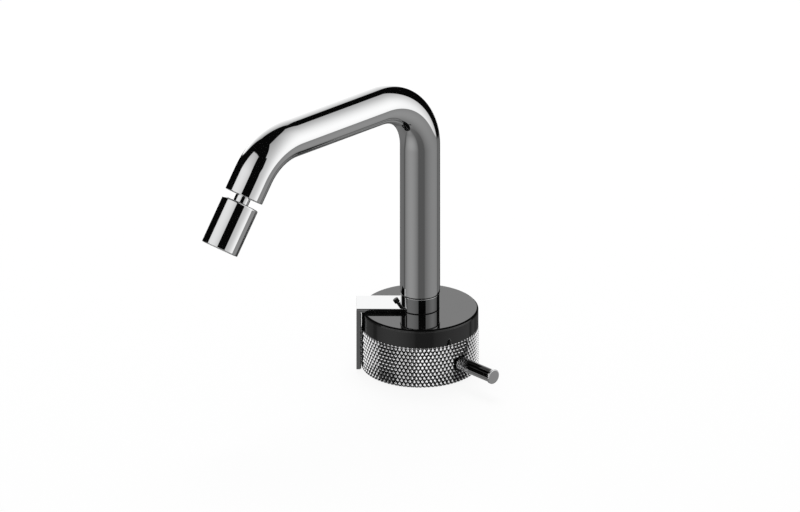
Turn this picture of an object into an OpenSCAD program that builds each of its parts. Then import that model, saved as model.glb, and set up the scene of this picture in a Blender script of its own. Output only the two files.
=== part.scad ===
// Single-hole bidet mixer with a bent round spout and a swivel aerator.
// The knurled ring and its rod set the temperature. The dark cap and its strap set the flow.
// The origin is on the deck, on the body's axis. Z is up and the spout points along -Y.

/* [Body] */
// Diameter of the dark cap and its top plate
body_d = 58; // [54:0.5:66]
// Height of the body above the deck
body_h = 32; // [29:0.5:40]
// Height of the dark cap with its top plate
cap_h = 9.7; // [9:0.1:12]
// Thickness of the glossy top plate
plate_t = 1.2; // [1:0.1:2]
// Bevel round the rim of the top plate
plate_bevel = 0.5; // [0.2:0.1:0.8]
// Wall of the dark cap
cap_wall = 1.8; // [1.2:0.1:2.2]
// How far the knurled ring stands out past the cap
knurl_proud = 0.25; // [0.1:0.05:0.6]
// Wall of the knurled ring
ring_wall = 3.2; // [2.8:0.1:4]
// Gap between the deck and the knurled ring
ring_lift = 0.8; // [0.5:0.1:1.5]

/* [Temperature rod] */
// Diameter of the rod
rod_d = 6.6; // [5:0.1:7]
// Distance from the body's axis to the rod's end
rod_reach = 53; // [44:0.2:70]
// Diameter of the flat head on the rod
rod_head_d = 7.5; // [7.2:0.1:9]
// Thickness of the flat head
rod_head_t = 1.2; // [1:0.1:3]
// Direction of the rod, turned from the X axis, as the ring stands at rest
rod_turn = 1; // [-10:1:10]

/* [Flow strap] */
// Width of the strap
strap_w = 17.2; // [12:0.2:20]
// Thickness of the strap
strap_t = 2; // [1.8:0.1:3]
// How far the strap is set back from the body's axis
strap_offset = 1.2; // [0:0.1:2]
// Direction of the strap, turned from the X axis, as the cap stands at rest
strap_turn = 227; // [210:1:240]
// Height of the strap's lower end above the deck
strap_lift = 1.3; // [1:0.1:6]
// Diameter of the small stud on the strap
stud_d = 1.6; // [1.2:0.1:2]
// Diameter of the stud's head
stud_head_d = 2.8; // [2.4:0.1:4]
// Lean of the stud away from upright
stud_lean = 33; // [10:1:40]
// Length of the stud from the strap to the top of its head
stud_l = 6.1; // [5:0.1:6.2]

/* [Spout] */
// Diameter of the spout tube
tube_d = 20; // [19:0.5:24]
// Wall of the spout tube
tube_wall = 1.5; // [1.2:0.1:1.8]
// Height of the arm's centre line above the deck
spout_h = 150; // [130:1:220]
// Straight length of the arm between its two bends
arm_l = 57.8; // [40:0.1:110]
// Centre-line radius of both bends
bend_r = 30; // [24:1:40]
// Slope of the nozzle below level
nozzle_pitch = 55.33; // [40:0.01:75]
// Straight length of the nozzle end of the tube
nozzle_l = 11.6; // [9:0.1:30]
// Height of the polished neck below the tube
neck_h = 7.7; // [6:0.1:12]
// How much narrower the neck is than the tube
neck_step = 0.5; // [0.2:0.1:1]

/* [Swivel aerator] */
// Diameter of the aerator housing
aerator_d = 19.2; // [19:0.2:22]
// Length of the aerator housing
aerator_l = 25; // [25:0.5:30]
// Gap between the tube and the aerator housing
aerator_gap = 3.7; // [3.4:0.1:5]
// Diameter of the ball
ball_d = 14; // [13.6:0.1:14.4]
// Diameter of the stem that shows in the gap
stem_d = 8; // [7.6:0.1:8.4]
// Water bore through the stem and the ball
stem_bore_d = 4; // [3:0.1:4.2]

/* [Valve] */
// Diameter of the two threaded inlets, for a 10 mm fine thread
inlet_d = 9; // [8:0.1:9.4]
// Brass left above the threaded inlets
inlet_roof = 3; // [2.5:0.1:4]
// Distance of the inlets and the fixing hole from the axis
inlet_mid = 11; // [10.5:0.1:11.6]
// Diameter of the threaded hole for the fixing stud, for an 8 mm thread
stud_hole_d = 6.8; // [6:0.1:7]
// Brass left above the fixing hole
stud_hole_roof = 2; // [1.5:0.1:4]
// Thickness of the rubber base gasket
gasket_t = 1; // [0.9:0.1:1.5]
// Bore of the valve chamber
chamber_d = 36; // [35.6:0.1:37]
// Wall of the valve chamber
chamber_wall = 3.5; // [2.5:0.1:3.8]
// Diameter of the centre post
post_d = 13; // [12.8:0.1:13.4]
// Water bore of the centre post
post_bore_d = 8.4; // [7:0.1:8.6]
// Wall of the flow sleeve on the post
sleeve_wall = 2.65; // [2.5:0.05:2.8]
// Thickness of the fixed ceramic disc
port_disc_t = 3; // [2.5:0.1:3.2]
// Thickness of the turning ceramic disc
mix_disc_t = 2.5; // [2:0.1:2.7]

/* [Clearances] */
// Gap at a running fit, on the radius
fit_gap = 0.05; // [0.03:0.01:0.08]
// Gap between pieces that pass each other freely
free_gap = 0.3; // [0.25:0.05:0.4]

/* [Hidden] */
$fn = 96;
over = 1;

// Radii
body_r = body_d / 2;
ring_r = body_r + knurl_proud;
ring_in_r = ring_r - ring_wall;
flange_r = ring_in_r - free_gap;
gasket_r = flange_r - 0.7;
cap_in_r = body_r - cap_wall;
chamber_r = chamber_d / 2;
cup_r = chamber_r + chamber_wall;
post_r = post_d / 2;
post_bore_r = post_bore_d / 2;
sleeve_in_r = post_r + fit_gap;
sleeve_r = sleeve_in_r + sleeve_wall;
tube_r = tube_d / 2;
tube_in_r = tube_r - tube_wall;
neck_r = tube_r - neck_step / 2;

// Heights of the body, from the deck up
flange_t = 4;
cap_z = body_h - cap_h;
ring_top = cap_z - free_gap;
web_t = 1.7;
web_z = ring_top - web_t;
drive_room = 3.8;
mix_disc_top = web_z - drive_room;
port_disc_top = mix_disc_top - mix_disc_t;
floor_z = port_disc_top - port_disc_t;
floor_t = floor_z - gasket_t;
inlet_l = floor_t - inlet_roof;
stud_hole_l = floor_t - stud_hole_roof;
cup_top = web_z - free_gap;
plate_z = body_h - plate_t;
neck_z = body_h + free_gap;
slip_t = 0.5;
slip_step = 0.6;
slip_z = neck_z + neck_h;
tube_z = slip_z + slip_t;
foot_h = 22;
post_top = tube_z + foot_h;

// Valve ports, the same places in the base, the seals and both discs
port_r = 2.6;
hot_angle = 210;
cold_angle = 330;
stud_angle = 90;
port_angles = [hot_angle, cold_angle];
port_span = cold_angle - hot_angle;
port_seal_cord = 0.6;
port_seal_r = port_r + 0.9;
port_pocket_r = port_seal_r + port_seal_cord + 0.1;
disc_bore_r = post_r + 2.3;
post_collar_r = disc_bore_r - free_gap;
post_collar_top = mix_disc_top + free_gap;
key_r = 1.2;
key_angles = [0, 180];
dog_angle = 14;
dog_r = 1.8;
dog_inset = 0.15;
dog_root = 0.5;

// Seals and their grooves
cord_r = 0.65;
groove_depth = 2 * cord_r;
groove_h = 1.9;
sleeve_seal_z = web_z + 2.7;
post_seal_z = web_z + 5;
foot_seal_in = 6;
spout_seal_low_z = tube_z + foot_seal_in;
spout_seal_high_z = post_top - foot_seal_in;
post_thread_r = 5;
post_thread_l = floor_t / 2;

// Water windows through the post and the sleeve, and the full-open turn of the strap
window_h = 2.2;
window_span = 60;
window_z = (mix_disc_top + free_gap + web_z) / 2 - window_h / 2;
open_turn = 47;

// Drive of the temperature ring
skirt_r = chamber_r - fit_gap;
skirt_in_r = chamber_r - 3;
hub_r = sleeve_r + 2.8;
hub_top = web_z + 5;
lip_t = 2.5;
lip_in_r = ring_in_r - 4;
ring_screw_r = 1;
ring_screw_head_r = 1.7;
ring_screw_head_t = 1;
ring_screw_l = 2;
ring_screw_edge = 0.6;
ring_screw_mid = ring_in_r - ring_screw_head_r - ring_screw_edge;
ring_screw_angles = [45, 165, 285];

// Temperature rod
rod_drop = 0.5;
rod_z = (ring_lift + ring_top) / 2 - rod_drop;
rod_r = rod_d / 2;
rod_thread_r = 2.5;
rod_recess_r = rod_r + 0.8;
rod_recess = 1.2;
rod_seat = ring_r - rod_recess;
rod_tip_r = 1.5;
rod_tip_l = 0.7;

// Flow cap and strap
cap_web_z = hub_top + 2;
strap_in_r = neck_r + free_gap;
strap_leg_in = ring_r + free_gap;
strap_out = strap_leg_in + strap_t;
strap_top = body_h + strap_t;
strap_start = 4.9;
strap_screw_r = 1.25;
strap_screw_head_r = 2.25;
strap_screw_head_t = 1.5;
strap_screw_sink = 0.2;
strap_screw_bite = strap_t * 0.6;
strap_screw_mids = [sleeve_r + 5.5, cap_in_r - 4.5];
stud_mid = 9;
stud_side = 6.2;
stud_head_t = 2.2;
stud_reach = 2 * stud_l;

// Screw that holds the spout on the post, running in a slot
swivel_each_way = 90;
screw_r = 1.65;
screw_z = tube_z + foot_h / 2;
screw_sink = 0.5;
screw_tip_r = 1.1;
screw_foot = post_r + 0.4;
screw_socket_r = 1;
screw_socket_l = 1.6;
slot_depth = 1;
slot_h = 2 * screw_tip_r + 0.8;
slot_extra = 14;

// Nozzle end: local Z points up the nozzle, and its zero is the end of the tube
plug_l = 6;
stem_r = stem_d / 2;
stem_neck_r = stem_r - 0.5;
stem_bore_r = stem_bore_d / 2;
stem_cord_r = 0.5;
stem_seal_z = plug_l / 2;
clip_t = 0.8;
clip_z = plug_l + free_gap;
clip_r = stem_neck_r + 1.5;
clip_groove = 0.6;
clip_slit = 2;
stem_top = clip_z + clip_t + 0.6;

// Aerator, measured down from the top face of its housing
aerator_r = aerator_d / 2;
aerator_top = -aerator_gap;
aerator_end = aerator_top - aerator_l;
ball_r = ball_d / 2;
ball_drop = 5.5;
ball_z = aerator_top - ball_drop;
ball_flat = ball_r - 1.8;
socket_r = ball_r + fit_gap;
socket_bore_r = ball_r + 0.6;
mouth_r = ball_r - 1;
housing_round = 1.6;
housing_bevel = 0.3;
insert_r = socket_bore_r + 0.5;
seat_top = ball_z - 2;
seat_l = 3.5;
seat_hole_r = 4.6;
clamp_top = seat_top - seat_l;
clamp_l = 2.5;
clamp_hole_r = 5.2;
clamp_slot = 1.2;
washer_top = clamp_top - clamp_l;
washer_l = 1.2;
washer_hole_r = 5.6;
strainer_top = washer_top - washer_l;
strainer_t = 0.6;
strainer_hole_r = 0.55;
strainer_step = 1.9;
regulator_top = strainer_top - strainer_t;
regulator_l = 2.5;
regulator_r = insert_r - 0.5;
regulator_hole_r = 0.9;
regulator_mid = 5;
regulator_holes = 8;
regulator_groove_in = 3;
regulator_groove_out = regulator_mid + regulator_hole_r + 0.4;
insert_top = regulator_top - regulator_l;
insert_sink = 0.5;
insert_end = aerator_end + insert_sink;
insert_wall = 1.1;
screen_t = 1.5;
screen_hole_r = 0.62;
screen_step = 1.9;

// Places that lie on a hexagonal grid, within a radius
function hex_grid(step, reach) = [
    for (row = [-6 : 6])
        for (col = [-6 : 6])
            let (x = (col + (row % 2 == 0 ? 0 : 0.5)) * step)
            let (y = row * step * sqrt(3) / 2)
            if (sqrt(x * x + y * y) <= reach) [x, y]
];

// A round tube piece from height z up to height top
module pipe(z, top, outer, inner) {
    translate([0, 0, z])
        difference() {
            cylinder(r = outer, h = top - z);
            translate([0, 0, -over])
                cylinder(r = inner, h = top - z + 2 * over);
        }
}

// A plain round bar from height z up to height top
module bar(z, top, r) {
    translate([0, 0, z])
        cylinder(r = r, h = top - z);
}

// A ring of rectangular section that cuts a groove round a shaft
module groove(z, h, r_bottom, r_top) {
    pipe(z - h / 2, z + h / 2, r_top + over, r_bottom);
}

// A rubber ring of round section
module seal(z, mid_r, r) {
    translate([0, 0, z])
        rotate_extrude()
            translate([mid_r, 0])
                circle(r = r, $fn = 32);
}

// A curved block between two radii, centred on the X axis
module arc_block(z, h, inner, outer, span) {
    translate([0, 0, z])
        rotate([0, 0, -span / 2])
            rotate_extrude(angle = span)
                translate([inner, 0])
                    square([outer - inner, h]);
}

// Children at a distance and an angle from the axis
module at_polar(mid, angle) {
    rotate([0, 0, angle])
        translate([mid, 0, 0])
            children();
}

// Children in the strap's frame, with X along the strap
module on_strap() {
    rotate([0, 0, strap_turn])
        children();
}

// Children in the nozzle's frame
module at_nozzle() {
    translate([0, -bend_r - arm_l, spout_h - bend_r])
        rotate([nozzle_pitch, 0, 0])
            translate([0, -nozzle_l, bend_r])
                rotate([-90, 0, 0])
                    children();
}

// The brass base: flange, valve chamber, inlets and fixing hole
module base_body() {
    color("goldenrod") {
        difference() {
            union() {
                bar(gasket_t, gasket_t + flange_t, flange_r);
                bar(gasket_t, cup_top, cup_r);
            }
            bar(floor_z, cup_top + over, chamber_r);
            bar(floor_z - post_thread_l, floor_z + over, post_thread_r);
            for (a = port_angles) {
                at_polar(inlet_mid, a) {
                    bar(gasket_t - over, gasket_t + inlet_l, inlet_d / 2);
                    bar(gasket_t, floor_z + over, port_r);
                    bar(floor_z - 2 * port_seal_cord, floor_z + over, port_pocket_r);
                }
            }
            at_polar(inlet_mid, stud_angle)
                bar(gasket_t - over, gasket_t + stud_hole_l, stud_hole_d / 2);
        }
        for (a = key_angles) {
            intersection() {
                at_polar(chamber_r, a)
                    bar(floor_z, port_disc_top - free_gap, key_r);
                bar(floor_z, port_disc_top, chamber_r + chamber_wall / 2);
            }
        }
    }
}

// The flat rubber ring between the base and the deck, round the inlets and the fixing hole
module base_gasket() {
    color("dimgray")
        pipe(0, gasket_t, gasket_r, chamber_r);
}

// Two rubber rings that seal the hot and cold ports under the fixed disc
module port_seals() {
    color("black")
        for (a = port_angles) {
            at_polar(inlet_mid, a)
                seal(floor_z - port_seal_cord, port_seal_r, port_seal_cord);
        }
}

// The fixed ceramic disc with the hot and cold ports
module port_disc() {
    color("white")
        difference() {
            pipe(floor_z, port_disc_top, chamber_r - free_gap, disc_bore_r);
            for (a = port_angles) {
                at_polar(inlet_mid, a)
                    bar(floor_z - over, port_disc_top + over, port_r);
            }
            for (a = key_angles) {
                at_polar(chamber_r, a)
                    bar(floor_z - over, port_disc_top + over, key_r + free_gap);
            }
        }
}

// The hollow brass post that carries the cap, the neck and the spout
module centre_post() {
    color("goldenrod")
        difference() {
            union() {
                bar(floor_z - post_thread_l, floor_z, post_thread_r);
                bar(floor_z, post_collar_top, post_collar_r);
                bar(post_collar_top, post_top, post_r);
            }
            bar(window_z, post_top + over, post_bore_r);
            for (a = [0, 180]) {
                rotate([0, 0, a])
                    arc_block(window_z, window_h, post_bore_r - over, post_r + over, window_span);
            }
            groove(post_seal_z, groove_h, post_r - groove_depth, post_r);
            groove(spout_seal_low_z, groove_h, post_r - groove_depth, post_r);
            groove(spout_seal_high_z, groove_h, post_r - groove_depth, post_r);
            rotate([0, 0, 90])
                arc_block(screw_z - slot_h / 2, slot_h, post_r - slot_depth, post_r + over,
                          2 * (swivel_each_way + slot_extra));
        }
}

// Three rubber rings on the post: one in the sleeve, two in the spout foot
module post_seals() {
    color("black")
        for (z = [post_seal_z, spout_seal_low_z, spout_seal_high_z]) {
            seal(z, post_r - cord_r, cord_r);
        }
}

// The black washer between the sleeve and the neck
module thrust_washer() {
    color("black")
        pipe(plate_z, neck_z, sleeve_r, post_r);
}

// The polished neck, a round nut on the post
module neck_nut() {
    color("silver")
        pipe(neck_z, slip_z, neck_r, post_r);
}

// The black ring on which the spout turns
module slip_ring() {
    color("black")
        pipe(slip_z, tube_z, neck_r - slip_step, sleeve_in_r);
}

// The knurled ring, drawn at the knurl's full diameter
module knurled_ring() {
    color("silver")
        difference() {
            union() {
                pipe(ring_lift, ring_top, ring_r, ring_in_r);
                pipe(web_z - lip_t, web_z, ring_in_r + ring_wall / 2, lip_in_r);
            }
            rotate([0, 0, rod_turn])
                translate([0, 0, rod_z])
                    rotate([0, 90, 0]) {
                        bar(0, ring_r + over, rod_thread_r);
                        bar(rod_seat, ring_r + over, rod_recess_r);
                    }
            for (a = ring_screw_angles) {
                at_polar(ring_screw_mid, a)
                    bar(web_z - ring_screw_l, web_z + over, ring_screw_r);
            }
        }
}

// The drive plate that carries the ring and turns the mixing disc
module ring_drive() {
    color("goldenrod") {
        difference() {
            union() {
                pipe(web_z, ring_top, ring_in_r, sleeve_r + fit_gap);
                pipe(mix_disc_top, web_z, skirt_r, skirt_in_r);
                pipe(web_z, hub_top, hub_r, sleeve_r + fit_gap);
            }
            groove((mix_disc_top + web_z) / 2, groove_h, skirt_r - groove_depth, skirt_r);
            for (a = ring_screw_angles) {
                at_polar(ring_screw_mid, a) {
                    bar(web_z - over, ring_top + over, ring_screw_r);
                    bar(ring_top - ring_screw_head_t, ring_top + over, ring_screw_head_r);
                }
            }
        }
        for (a = key_angles) {
            rotate([0, 0, a])
                arc_block(port_disc_top + free_gap, mix_disc_t - free_gap + dog_root,
                          skirt_r - dog_r, skirt_r - dog_inset, dog_angle);
        }
    }
}

// Three screws that fix the drive plate in the knurled ring
module ring_screws() {
    color("gray")
        for (a = ring_screw_angles) {
            at_polar(ring_screw_mid, a) {
                bar(ring_top - ring_screw_head_t, ring_top, ring_screw_head_r);
                bar(web_z - ring_screw_l, ring_top - ring_screw_head_t, ring_screw_r);
            }
        }
}

// The rubber ring between the drive plate and the chamber wall
module drive_seal() {
    color("black")
        seal((mix_disc_top + web_z) / 2, skirt_r - cord_r, cord_r);
}

// The turning ceramic disc: its curved slot uncovers more of one port or the other
module mixing_disc() {
    color("white")
        difference() {
            pipe(port_disc_top, mix_disc_top, chamber_r - free_gap, disc_bore_r);
            rotate([0, 0, (hot_angle + cold_angle) / 2])
                arc_block(port_disc_top - over, mix_disc_t + 2 * over,
                          inlet_mid - port_r / 2, inlet_mid + port_r, port_span);
            for (a = key_angles) {
                rotate([0, 0, a])
                    arc_block(port_disc_top - over, mix_disc_t + 2 * over,
                              skirt_r - dog_r - free_gap, chamber_r, dog_angle + 2);
            }
        }
}

// The round rod screwed into the knurled ring
module rod() {
    color("silver")
        rotate([0, 0, rod_turn])
            translate([0, 0, rod_z])
                rotate([0, 90, 0]) {
                    bar(ring_in_r, rod_seat, rod_thread_r);
                    bar(rod_seat, rod_reach - rod_head_t, rod_r);
                    bar(rod_reach - rod_head_t, rod_reach - rod_head_t + rod_tip_l, rod_tip_r);
                }
}

// The flat head on the rod's end
module rod_head() {
    color("silver")
        rotate([0, 0, rod_turn])
            translate([0, 0, rod_z])
                rotate([0, 90, 0])
                    difference() {
                        bar(rod_reach - rod_head_t, rod_reach, rod_head_d / 2);
                        bar(rod_reach - rod_head_t - over, rod_reach - rod_head_t + rod_tip_l,
                            rod_tip_r);
                    }
}

// The dark cap under the top plate
module cap_shell() {
    color("#262626")
        difference() {
            union() {
                pipe(cap_z, plate_z, body_r, cap_in_r);
                pipe(cap_web_z, plate_z, cap_in_r + cap_wall / 2, sleeve_r);
            }
            on_strap()
                for (x = strap_screw_mids) {
                    translate([x, -strap_offset, 0]) {
                        bar(cap_web_z - over, plate_z + over, strap_screw_r + fit_gap);
                        bar(cap_web_z - over, cap_web_z + strap_screw_head_t + strap_screw_sink,
                            strap_screw_head_r + fit_gap);
                    }
                }
        }
}

// The glossy dark round plate on top of the cap
module top_plate() {
    color("#303030")
        difference() {
            rotate_extrude()
                polygon([
                    [sleeve_r + free_gap, plate_z],
                    [body_r, plate_z],
                    [body_r, body_h - plate_bevel],
                    [body_r - plate_bevel, body_h],
                    [sleeve_r + free_gap, body_h]
                ]);
            on_strap()
                for (x = strap_screw_mids) {
                    translate([x, -strap_offset, 0])
                        bar(plate_z - over, body_h + over, strap_screw_r + fit_gap);
                }
        }
}

// The flat strap: it lies on the top plate and drops over the side of the body
module strap() {
    color("silver")
        on_strap()
            difference() {
                translate([0, -strap_w / 2 - strap_offset, 0]) {
                    translate([0, 0, body_h])
                        cube([strap_out, strap_w, strap_t]);
                    translate([strap_leg_in, 0, strap_lift])
                        cube([strap_t, strap_w, strap_top - strap_lift]);
                }
                bar(body_h - over, strap_top + over, strap_in_r);
                translate([-over, -strap_w - strap_offset, body_h - over])
                    cube([over + strap_start, 2 * strap_w, strap_t + 2 * over]);
                for (x = strap_screw_mids) {
                    translate([x, -strap_offset, 0])
                        bar(body_h - over, body_h + strap_screw_bite, strap_screw_r);
                }
            }
}

// Two screws from inside the cap that hold the strap and the plate
module strap_screws() {
    color("gray")
        on_strap()
            for (x = strap_screw_mids) {
                translate([x, -strap_offset, 0]) {
                    bar(cap_web_z + strap_screw_sink,
                        cap_web_z + strap_screw_sink + strap_screw_head_t, strap_screw_head_r);
                    bar(cap_web_z + strap_screw_sink + strap_screw_head_t,
                        body_h + strap_screw_bite, strap_screw_r);
                }
            }
}

// The small headed stud that leans out beside the neck
module strap_stud() {
    color("#303030")
        on_strap()
            translate([stud_mid, stud_side, strap_top])
                intersection() {
                    rotate([0, stud_lean, 0]) {
                        bar(-over, stud_l - stud_head_t, stud_d / 2);
                        bar(stud_l - stud_head_t, stud_l, stud_head_d / 2);
                    }
                    bar(0, stud_reach, stud_reach);
                }
}

// The sleeve that opens and shuts the windows of the post
module flow_sleeve() {
    color("goldenrod")
        difference() {
            pipe(post_collar_top, plate_z, sleeve_r, sleeve_in_r);
            for (a = [0, 180]) {
                rotate([0, 0, open_turn + a])
                    arc_block(window_z, window_h, sleeve_in_r - over, sleeve_r + over, window_span);
            }
            groove(sleeve_seal_z, groove_h, sleeve_r - groove_depth, sleeve_r);
        }
}

// The rubber ring between the sleeve and the drive plate
module sleeve_seal() {
    color("black")
        seal(sleeve_seal_z, sleeve_r - cord_r, cord_r);
}

// The black ring that keeps the drive plate down
module glide_ring() {
    color("black")
        pipe(hub_top, cap_web_z, hub_r, sleeve_r + free_gap);
}

// A part turn of the tube, with its bend centre at the origin
module bend(angle) {
    rotate_extrude(angle = angle)
        translate([bend_r, 0])
            difference() {
                circle(r = tube_r);
                circle(r = tube_in_r);
            }
}

// The tube's run: riser, upper bend, arm, lower bend and nozzle end
module tube_run() {
    pipe(tube_z, spout_h - bend_r, tube_r, tube_in_r);
    translate([0, -bend_r, spout_h - bend_r])
        rotate([90, 0, 90])
            bend(90);
    translate([0, -bend_r, spout_h])
        rotate([90, 0, 0])
            pipe(0, arm_l, tube_r, tube_in_r);
    translate([0, -bend_r - arm_l, spout_h - bend_r])
        rotate([180, -90, 0])
            bend(nozzle_pitch);
    at_nozzle()
        pipe(0, nozzle_l, tube_r, tube_in_r);
}

// The bent, polished spout tube
module spout_tube() {
    color("silver")
        difference() {
            tube_run();
            translate([0, 0, screw_z])
                rotate([-90, 0, 0])
                    cylinder(r = screw_r, h = tube_r + over);
        }
}

// The brass foot inside the tube, which turns on the post
module spout_foot() {
    color("goldenrod")
        difference() {
            pipe(tube_z, post_top, tube_in_r, sleeve_in_r);
            translate([0, 0, screw_z])
                rotate([-90, 0, 0])
                    cylinder(r = screw_r, h = tube_r + over);
        }
}

// The socket screw at the back of the foot
module spout_screw() {
    color("gray")
        translate([0, 0, screw_z])
            rotate([-90, 0, 0])
                difference() {
                    union() {
                        bar(screw_foot - slot_depth, screw_foot, screw_tip_r);
                        bar(screw_foot, tube_r - screw_sink, screw_r);
                    }
                    translate([0, 0, tube_r - screw_sink - screw_socket_l])
                        cylinder(r = screw_socket_r, h = screw_socket_l + over, $fn = 6);
                }
}

// The plug in the end of the tube that carries the ball stem
module nozzle_plug() {
    color("silver")
        at_nozzle()
            pipe(0, plug_l, tube_in_r, stem_neck_r + fit_gap);
}

// The stem and the ball in one piece
module ball_stem() {
    color("silver")
        at_nozzle()
            difference() {
                union() {
                    bar(-free_gap, stem_top, stem_neck_r);
                    bar(ball_z, -free_gap, stem_r);
                    intersection() {
                        translate([0, 0, ball_z])
                            sphere(r = ball_r);
                        bar(ball_z - ball_flat, ball_z + ball_r, ball_r + over);
                    }
                }
                bar(ball_z - ball_r - over, stem_top + over, stem_bore_r);
                groove(stem_seal_z, 3 * stem_cord_r, stem_neck_r - 2 * stem_cord_r, stem_neck_r);
                groove(clip_z + clip_t / 2, clip_t, stem_neck_r - clip_groove, stem_neck_r);
            }
}

// The split ring that keeps the stem in its plug
module stem_clip() {
    color("gray")
        at_nozzle()
            difference() {
                pipe(clip_z, clip_z + clip_t, clip_r, stem_neck_r - clip_groove);
                translate([0, -clip_slit / 2, clip_z - over])
                    cube([clip_r + over, clip_slit, clip_t + 2 * over]);
            }
}

// The rubber ring on the stem
module stem_seal() {
    color("black")
        at_nozzle()
            seal(stem_seal_z, stem_neck_r - stem_cord_r, stem_cord_r);
}

// The half section of the aerator housing, with a rounded top edge
module housing_section() {
    square_r = aerator_r - housing_round;
    translate([0, aerator_end + housing_bevel])
        square([aerator_r, aerator_l - housing_round - housing_bevel]);
    translate([0, aerator_end])
        square([aerator_r - housing_bevel, aerator_l - housing_round]);
    translate([0, aerator_top - housing_round - over])
        square([square_r, housing_round + over]);
    translate([square_r, aerator_top - housing_round])
        circle(r = housing_round);
}

// The polished aerator housing, a socket for the ball and a bore for the insert
module aerator_housing() {
    color("silver")
        at_nozzle()
            difference() {
                rotate_extrude()
                    housing_section();
                translate([0, 0, ball_z])
                    sphere(r = socket_r);
                bar(ball_z, aerator_top + over, mouth_r);
                bar(washer_top, ball_z, socket_bore_r);
                bar(aerator_end - over, washer_top, insert_r);
            }
}

// The white seat that presses the ball into its socket
module seat_ring() {
    color("whitesmoke")
        at_nozzle()
            difference() {
                pipe(seat_top - seat_l, seat_top, socket_bore_r, seat_hole_r);
                translate([0, 0, ball_z])
                    sphere(r = socket_r);
            }
}

// The threaded ring that holds the seat, with two spanner slots
module clamp_ring() {
    color("goldenrod")
        at_nozzle()
            difference() {
                pipe(washer_top, clamp_top, socket_bore_r, clamp_hole_r);
                translate([-socket_bore_r - over, -clamp_slot / 2, washer_top - over])
                    cube([2 * (socket_bore_r + over), clamp_slot, over + clamp_slot]);
            }
}

// The rubber washer above the strainer
module aerator_washer() {
    color("black")
        at_nozzle()
            pipe(strainer_top, washer_top, insert_r, washer_hole_r);
}

// The steel strainer
module strainer() {
    color("lightgray")
        at_nozzle()
            difference() {
                bar(regulator_top, strainer_top, insert_r);
                for (p = hex_grid(strainer_step, washer_hole_r - strainer_hole_r)) {
                    translate([p[0], p[1], 0])
                        bar(regulator_top - over, strainer_top + over, strainer_hole_r);
                }
            }
}

// The disc that limits the flow
module flow_regulator() {
    color("seagreen")
        at_nozzle()
            difference() {
                bar(insert_top, regulator_top, regulator_r);
                pipe(insert_top + regulator_l / 2, regulator_top + over,
                     regulator_groove_out, regulator_groove_in);
                for (i = [0 : regulator_holes - 1]) {
                    at_polar(regulator_mid, i * 360 / regulator_holes)
                        bar(insert_top - over, regulator_top + over, regulator_hole_r);
                }
            }
}

// The white aerator insert with its outlet screen
module aerator_insert() {
    color("whitesmoke")
        at_nozzle()
            difference() {
                bar(insert_end, insert_top, insert_r);
                bar(insert_end + screen_t, insert_top + over, insert_r - insert_wall);
                for (p = hex_grid(screen_step, insert_r - insert_wall - screen_hole_r)) {
                    translate([p[0], p[1], 0])
                        bar(insert_end - over, insert_end + screen_t + over, screen_hole_r);
                }
            }
}

base_body();
base_gasket();
port_seals();
port_disc();
centre_post();
post_seals();
thrust_washer();
neck_nut();
slip_ring();
knurled_ring();
ring_drive();
ring_screws();
drive_seal();
mixing_disc();
rod();
rod_head();
cap_shell();
top_plate();
strap();
strap_screws();
strap_stud();
flow_sleeve();
sleeve_seal();
glide_ring();
spout_tube();
spout_foot();
spout_screw();
nozzle_plug();
ball_stem();
stem_clip();
stem_seal();
aerator_housing();
seat_ring();
clamp_ring();
aerator_washer();
strainer();
flow_regulator();
aerator_insert();
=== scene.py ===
import math

import bmesh
import bpy
import numpy as np
from mathutils import Matrix, Vector


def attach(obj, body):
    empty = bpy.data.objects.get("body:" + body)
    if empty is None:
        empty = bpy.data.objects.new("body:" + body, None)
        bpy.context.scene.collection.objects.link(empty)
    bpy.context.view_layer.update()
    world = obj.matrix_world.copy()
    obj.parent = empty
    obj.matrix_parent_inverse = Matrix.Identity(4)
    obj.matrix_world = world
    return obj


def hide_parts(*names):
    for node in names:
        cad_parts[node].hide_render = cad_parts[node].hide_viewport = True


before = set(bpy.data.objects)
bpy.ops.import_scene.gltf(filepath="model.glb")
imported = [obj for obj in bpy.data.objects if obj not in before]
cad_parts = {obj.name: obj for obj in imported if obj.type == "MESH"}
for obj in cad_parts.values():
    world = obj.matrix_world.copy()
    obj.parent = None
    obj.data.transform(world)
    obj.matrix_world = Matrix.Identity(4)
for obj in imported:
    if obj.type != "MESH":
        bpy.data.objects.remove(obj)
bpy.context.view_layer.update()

# Brass inside: the base that stands on the deck, the hollow centre post, the drive
# plate, the flow sleeve, the spout's foot and the clamp ring are turned from brass bar,
# so fine rings from the lathe tool run round them.


def shader_links(name):
    """A new material with its Principled shader, node list and link maker."""
    made = bpy.data.materials.new(name)
    made.use_nodes = True
    nodes = made.node_tree.nodes
    return made, nodes["Principled BSDF"], nodes, made.node_tree.links.new


def object_place(nodes):
    """The Object coordinates, which stay with the piece wherever it is turned."""
    return nodes.new("ShaderNodeTexCoord").outputs["Object"]


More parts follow.
